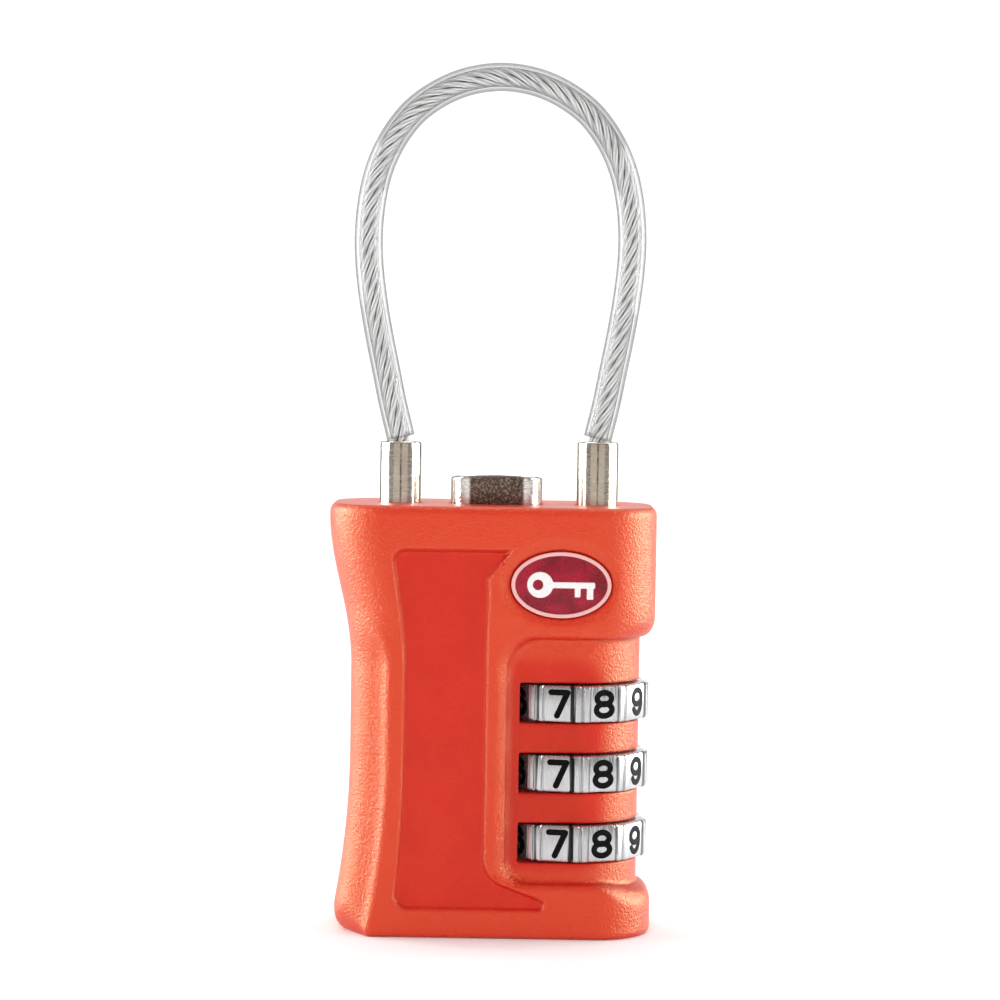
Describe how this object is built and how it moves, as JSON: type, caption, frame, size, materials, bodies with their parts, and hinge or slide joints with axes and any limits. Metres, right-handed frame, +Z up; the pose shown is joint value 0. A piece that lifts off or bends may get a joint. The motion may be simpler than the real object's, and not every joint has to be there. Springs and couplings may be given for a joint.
{
  "type": "luggage combination padlock",
  "caption": "Small luggage padlock with a flexible wire-rope shackle, number dials on one side, a push button on top and a service-key cylinder in the base.",
  "frame": {"origin": "centre of the casing's base", "axes": "+Z up towards the cable loop, -Y out of the badged front, +X towards the number dials"},
  "size_m": [0.0301, 0.0148, 0.0812],
  "materials": {
    "casing_red": "moulded, fine spark-eroded grain",
    "badge_crimson": "smooth, slightly domed",
    "badge_white": "smooth",
    "nickel": "bright nickel plate with fine turning marks",
    "button_nickel": "satin nickel with polished edges",
    "dial_chrome": "satin chrome, bright ribs",
    "steel": "turned",
    "zinc": "die-cast",
    "spring_steel": "drawn wire",
    "rope_steel": "galvanised strands",
    "clear_sheath": "clear vinyl",
    "sleeve_nylon": "natural acetal",
    "reset_metal": "satin",
    "brass": "machined"
  },
  "bodies": {
    "casing": {"front_shell": "casing_red", "rear_shell": "casing_red", "shell_pins": "steel", "badge_plate": "badge_crimson", "badge_key_mark": "badge_white", "captive_ferrule": "nickel", "ferrule_clip": "spring_steel", "wire_rope": "rope_steel", "rope_sheath": "clear_sheath", "button_spring": "spring_steel", "latch_spring": "spring_steel", "clutch_spring": "spring_steel", "detent_spring": "spring_steel", "plug_housing": "zinc"},
    "button": {"push_button": "button_nickel", "release_plate": "zinc", "spindle": "steel"},
    "free_end": {"free_ferrule": "nickel"},
    "latch": {"latch_bolt": "steel"},
    "dial_upper": {"dial_1": "dial_chrome"},
    "dial_middle": {"dial_2": "dial_chrome"},
    "dial_lower": {"dial_3": "dial_chrome"},
    "sleeve_upper": {"clutch_sleeve_1": "sleeve_nylon"},
    "sleeve_middle": {"clutch_sleeve_2": "sleeve_nylon"},
    "sleeve_lower": {"clutch_sleeve_3": "sleeve_nylon"},
    "code_change": {"reset_button": "reset_metal"},
    "key_cylinder": {"key_plug": "brass", "key_wafers": "brass", "wafer_springs": "spring_steel", "plug_clip": "spring_steel", "key_cam": "zinc"},
    "bypass": {"bypass_slide": "zinc"}
  },
  "joints": [
    {"name": "dial_upper_turn", "type": "hinge", "parent": "casing", "child": "dial_upper", "pos_m": [0.0078, 0, 0.02185], "axis": [0, 0, 1], "continuous": true, "deforming": ["detent_spring"]},
    {"name": "dial_middle_turn", "type": "hinge", "parent": "casing", "child": "dial_middle", "pos_m": [0.0078, 0, 0.01535], "axis": [0, 0, 1], "continuous": true, "deforming": ["detent_spring"]},
    {"name": "dial_lower_turn", "type": "hinge", "parent": "casing", "child": "dial_lower", "pos_m": [0.0078, 0, 0.00885], "axis": [0, 0, 1], "continuous": true, "deforming": ["detent_spring"]},
    {"name": "button_press", "type": "slide", "parent": "casing", "child": "button", "axis": [0, 0, -1], "range_m": [0, 0.0018], "stiffness_N_per_m": 500, "springref_m": -0.001, "deforming": ["button_spring"]},
    {"name": "free_end_lift", "type": "slide", "parent": "casing", "child": "free_end", "axis": [0, 0, 1], "range_m": [0, 0.008], "deforming": ["wire_rope", "rope_sheath"]},
    {"name": "latch_slide", "type": "slide", "parent": "casing", "child": "latch", "axis": [-1, 0, 0], "range_m": [0, 0.002], "deforming": ["latch_spring"]},
    {"name": "code_change_press", "type": "slide", "parent": "casing", "child": "code_change", "axis": [0, 0, -1], "range_m": [-0.0017, 0], "stiffness_N_per_m": 400, "springref_m": 0.001, "deforming": ["clutch_spring"]},
    {"name": "sleeve_upper_lift", "type": "slide", "parent": "dial_upper", "child": "sleeve_upper", "axis": [0, 0, -1], "range_m": [-0.0017, 0]},
    {"name": "sleeve_middle_lift", "type": "slide", "parent": "dial_middle", "child": "sleeve_middle", "axis": [0, 0, -1], "range_m": [-0.0017, 0]},
    {"name": "sleeve_lower_lift", "type": "slide", "parent": "dial_lower", "child": "sleeve_lower", "axis": [0, 0, -1], "range_m": [-0.0017, 0]},
    {"name": "key_turn", "type": "hinge", "parent": "casing", "child": "key_cylinder", "pos_m": [-0.0062, 0, 0.006], "axis": [0, 0, 1], "range_deg": [0, 90]},
    {"name": "bypass_lift", "type": "slide", "parent": "casing", "child": "bypass", "axis": [0, 0, 1], "range_m": [0, 0.0015]}
  ],
  "couplings": [
    {"joint": "latch_slide", "follows": "free_end_lift", "ratio": 0.25},
    {"joint": "key_turn", "follows": "bypass_lift", "rad_per_m": 1047.2},
    {"joint": "sleeve_upper_lift", "follows": "code_change_press", "ratio": 1},
    {"joint": "sleeve_middle_lift", "follows": "code_change_press", "ratio": 1},
    {"joint": "sleeve_lower_lift", "follows": "code_change_press", "ratio": 1}
  ]
}
